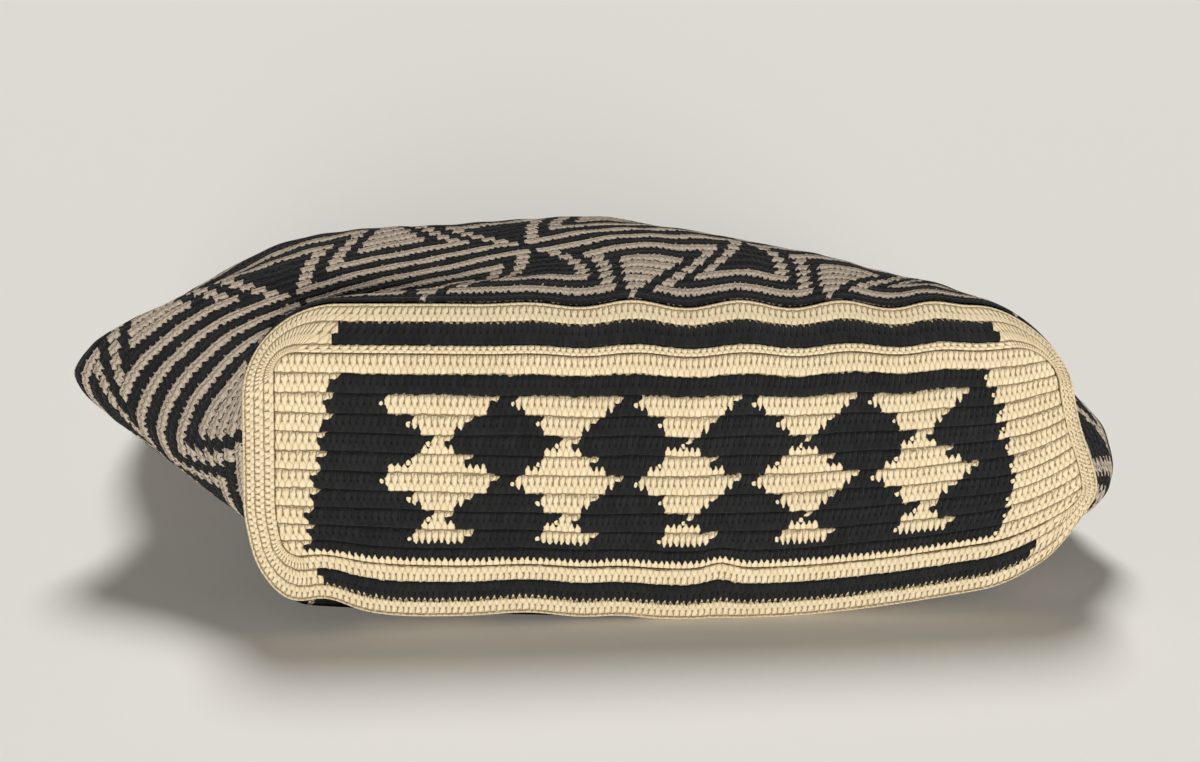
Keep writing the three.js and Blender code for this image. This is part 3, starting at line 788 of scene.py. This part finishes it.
lightSet = {
    "worldLight": 0.06, "worldSeen": 0.72,
    "front": {"strength": 2.8, "angle": 0.3, "azimuth": -4.0, "elevation": 8.0},
    "top": {"strength": 2.1, "angle": 0.35, "azimuth": 178.0, "elevation": 56.0},
}


def makeSun(name):
    values = lightSet[name]
    lamp = bpy.data.lights.new(name, "SUN")
    lamp.energy = values["strength"]
    lamp.angle = values["angle"]
    lampObject = bpy.data.objects.new(name, lamp)
    scene.collection.objects.link(lampObject)
    turn, rise = math.radians(values["azimuth"]), math.radians(values["elevation"])
    toward = Vector((math.sin(turn) * math.cos(rise), -math.cos(turn) * math.cos(rise), math.sin(rise)))
    lampObject.rotation_euler = toward.to_track_quat("Z", "Y").to_euler()


makeSun("front")
makeSun("top")

world = bpy.data.worlds.new("studio")
scene.world = world
world.use_nodes = True
worldTree = world.node_tree
worldLight = worldTree.nodes["Background"]
worldLight.inputs["Color"].default_value = (1.0, 0.985, 0.955, 1.0)
worldLight.inputs["Strength"].default_value = lightSet["worldLight"]
worldSeen = worldTree.nodes.new("ShaderNodeBackground")
worldSeen.inputs["Color"].default_value = (1.0, 0.975, 0.925, 1.0)
worldSeen.inputs["Strength"].default_value = lightSet["worldSeen"]
worldPath = worldTree.nodes.new("ShaderNodeLightPath")
worldRays = addAll(worldTree, "MAXIMUM", worldPath.outputs["Is Camera Ray"],
                   worldPath.outputs["Is Glossy Ray"], worldPath.outputs["Is Transmission Ray"])
worldMix = worldTree.nodes.new("ShaderNodeMixShader")
worldTree.links.new(worldRays, worldMix.inputs[0])
worldTree.links.new(worldLight.outputs[0], worldMix.inputs[1])
worldTree.links.new(worldSeen.outputs[0], worldMix.inputs[2])
worldTree.links.new(worldMix.outputs[0], worldTree.nodes["World Output"].inputs[0])

cameraSet = {"azimuth": -9.0, "elevation": 21.0, "roll": 2.9, "distance": 685.0, "focal": 1530.0,
             "aim": (-6.2, 21.1 - originDepth, 69.0), "aimPixel": (672.0, 464.0),
             "imageSize": (1200.0, 762.0)}
ca, ce, cr = (math.radians(cameraSet[key]) for key in ("azimuth", "elevation", "roll"))
back = Vector((math.sin(ca) * math.cos(ce), -math.cos(ca) * math.cos(ce), math.sin(ce)))
level = (-back).cross(Vector((0, 0, 1))).normalized()
upright = level.cross(-back)
right = level * math.cos(cr) + upright * math.sin(cr)
up = upright * math.cos(cr) - level * math.sin(cr)
aimPixel, imageSize = cameraSet["aimPixel"], cameraSet["imageSize"]
offX = (aimPixel[0] - imageSize[0] / 2) / cameraSet["focal"] * cameraSet["distance"]
offY = (aimPixel[1] - imageSize[1] / 2) / cameraSet["focal"] * cameraSet["distance"]
spot = (Vector(cameraSet["aim"]) + back * cameraSet["distance"] - right * offX + up * offY) * 0.001
camera = bpy.data.cameras.new("camera")
camera.sensor_fit = "HORIZONTAL"
camera.sensor_width = 36.0
camera.lens = cameraSet["focal"] / cameraSet["imageSize"][0] * camera.sensor_width
camera.clip_start = 0.01
camera.clip_end = 50.0
cameraObject = bpy.data.objects.new("camera", camera)
scene.collection.objects.link(cameraObject)
cameraObject.matrix_world = Matrix.Translation(spot) @ Matrix((right, up, back)).transposed().to_4x4()
scene.camera = cameraObject
print("stage: floor, light and camera made")
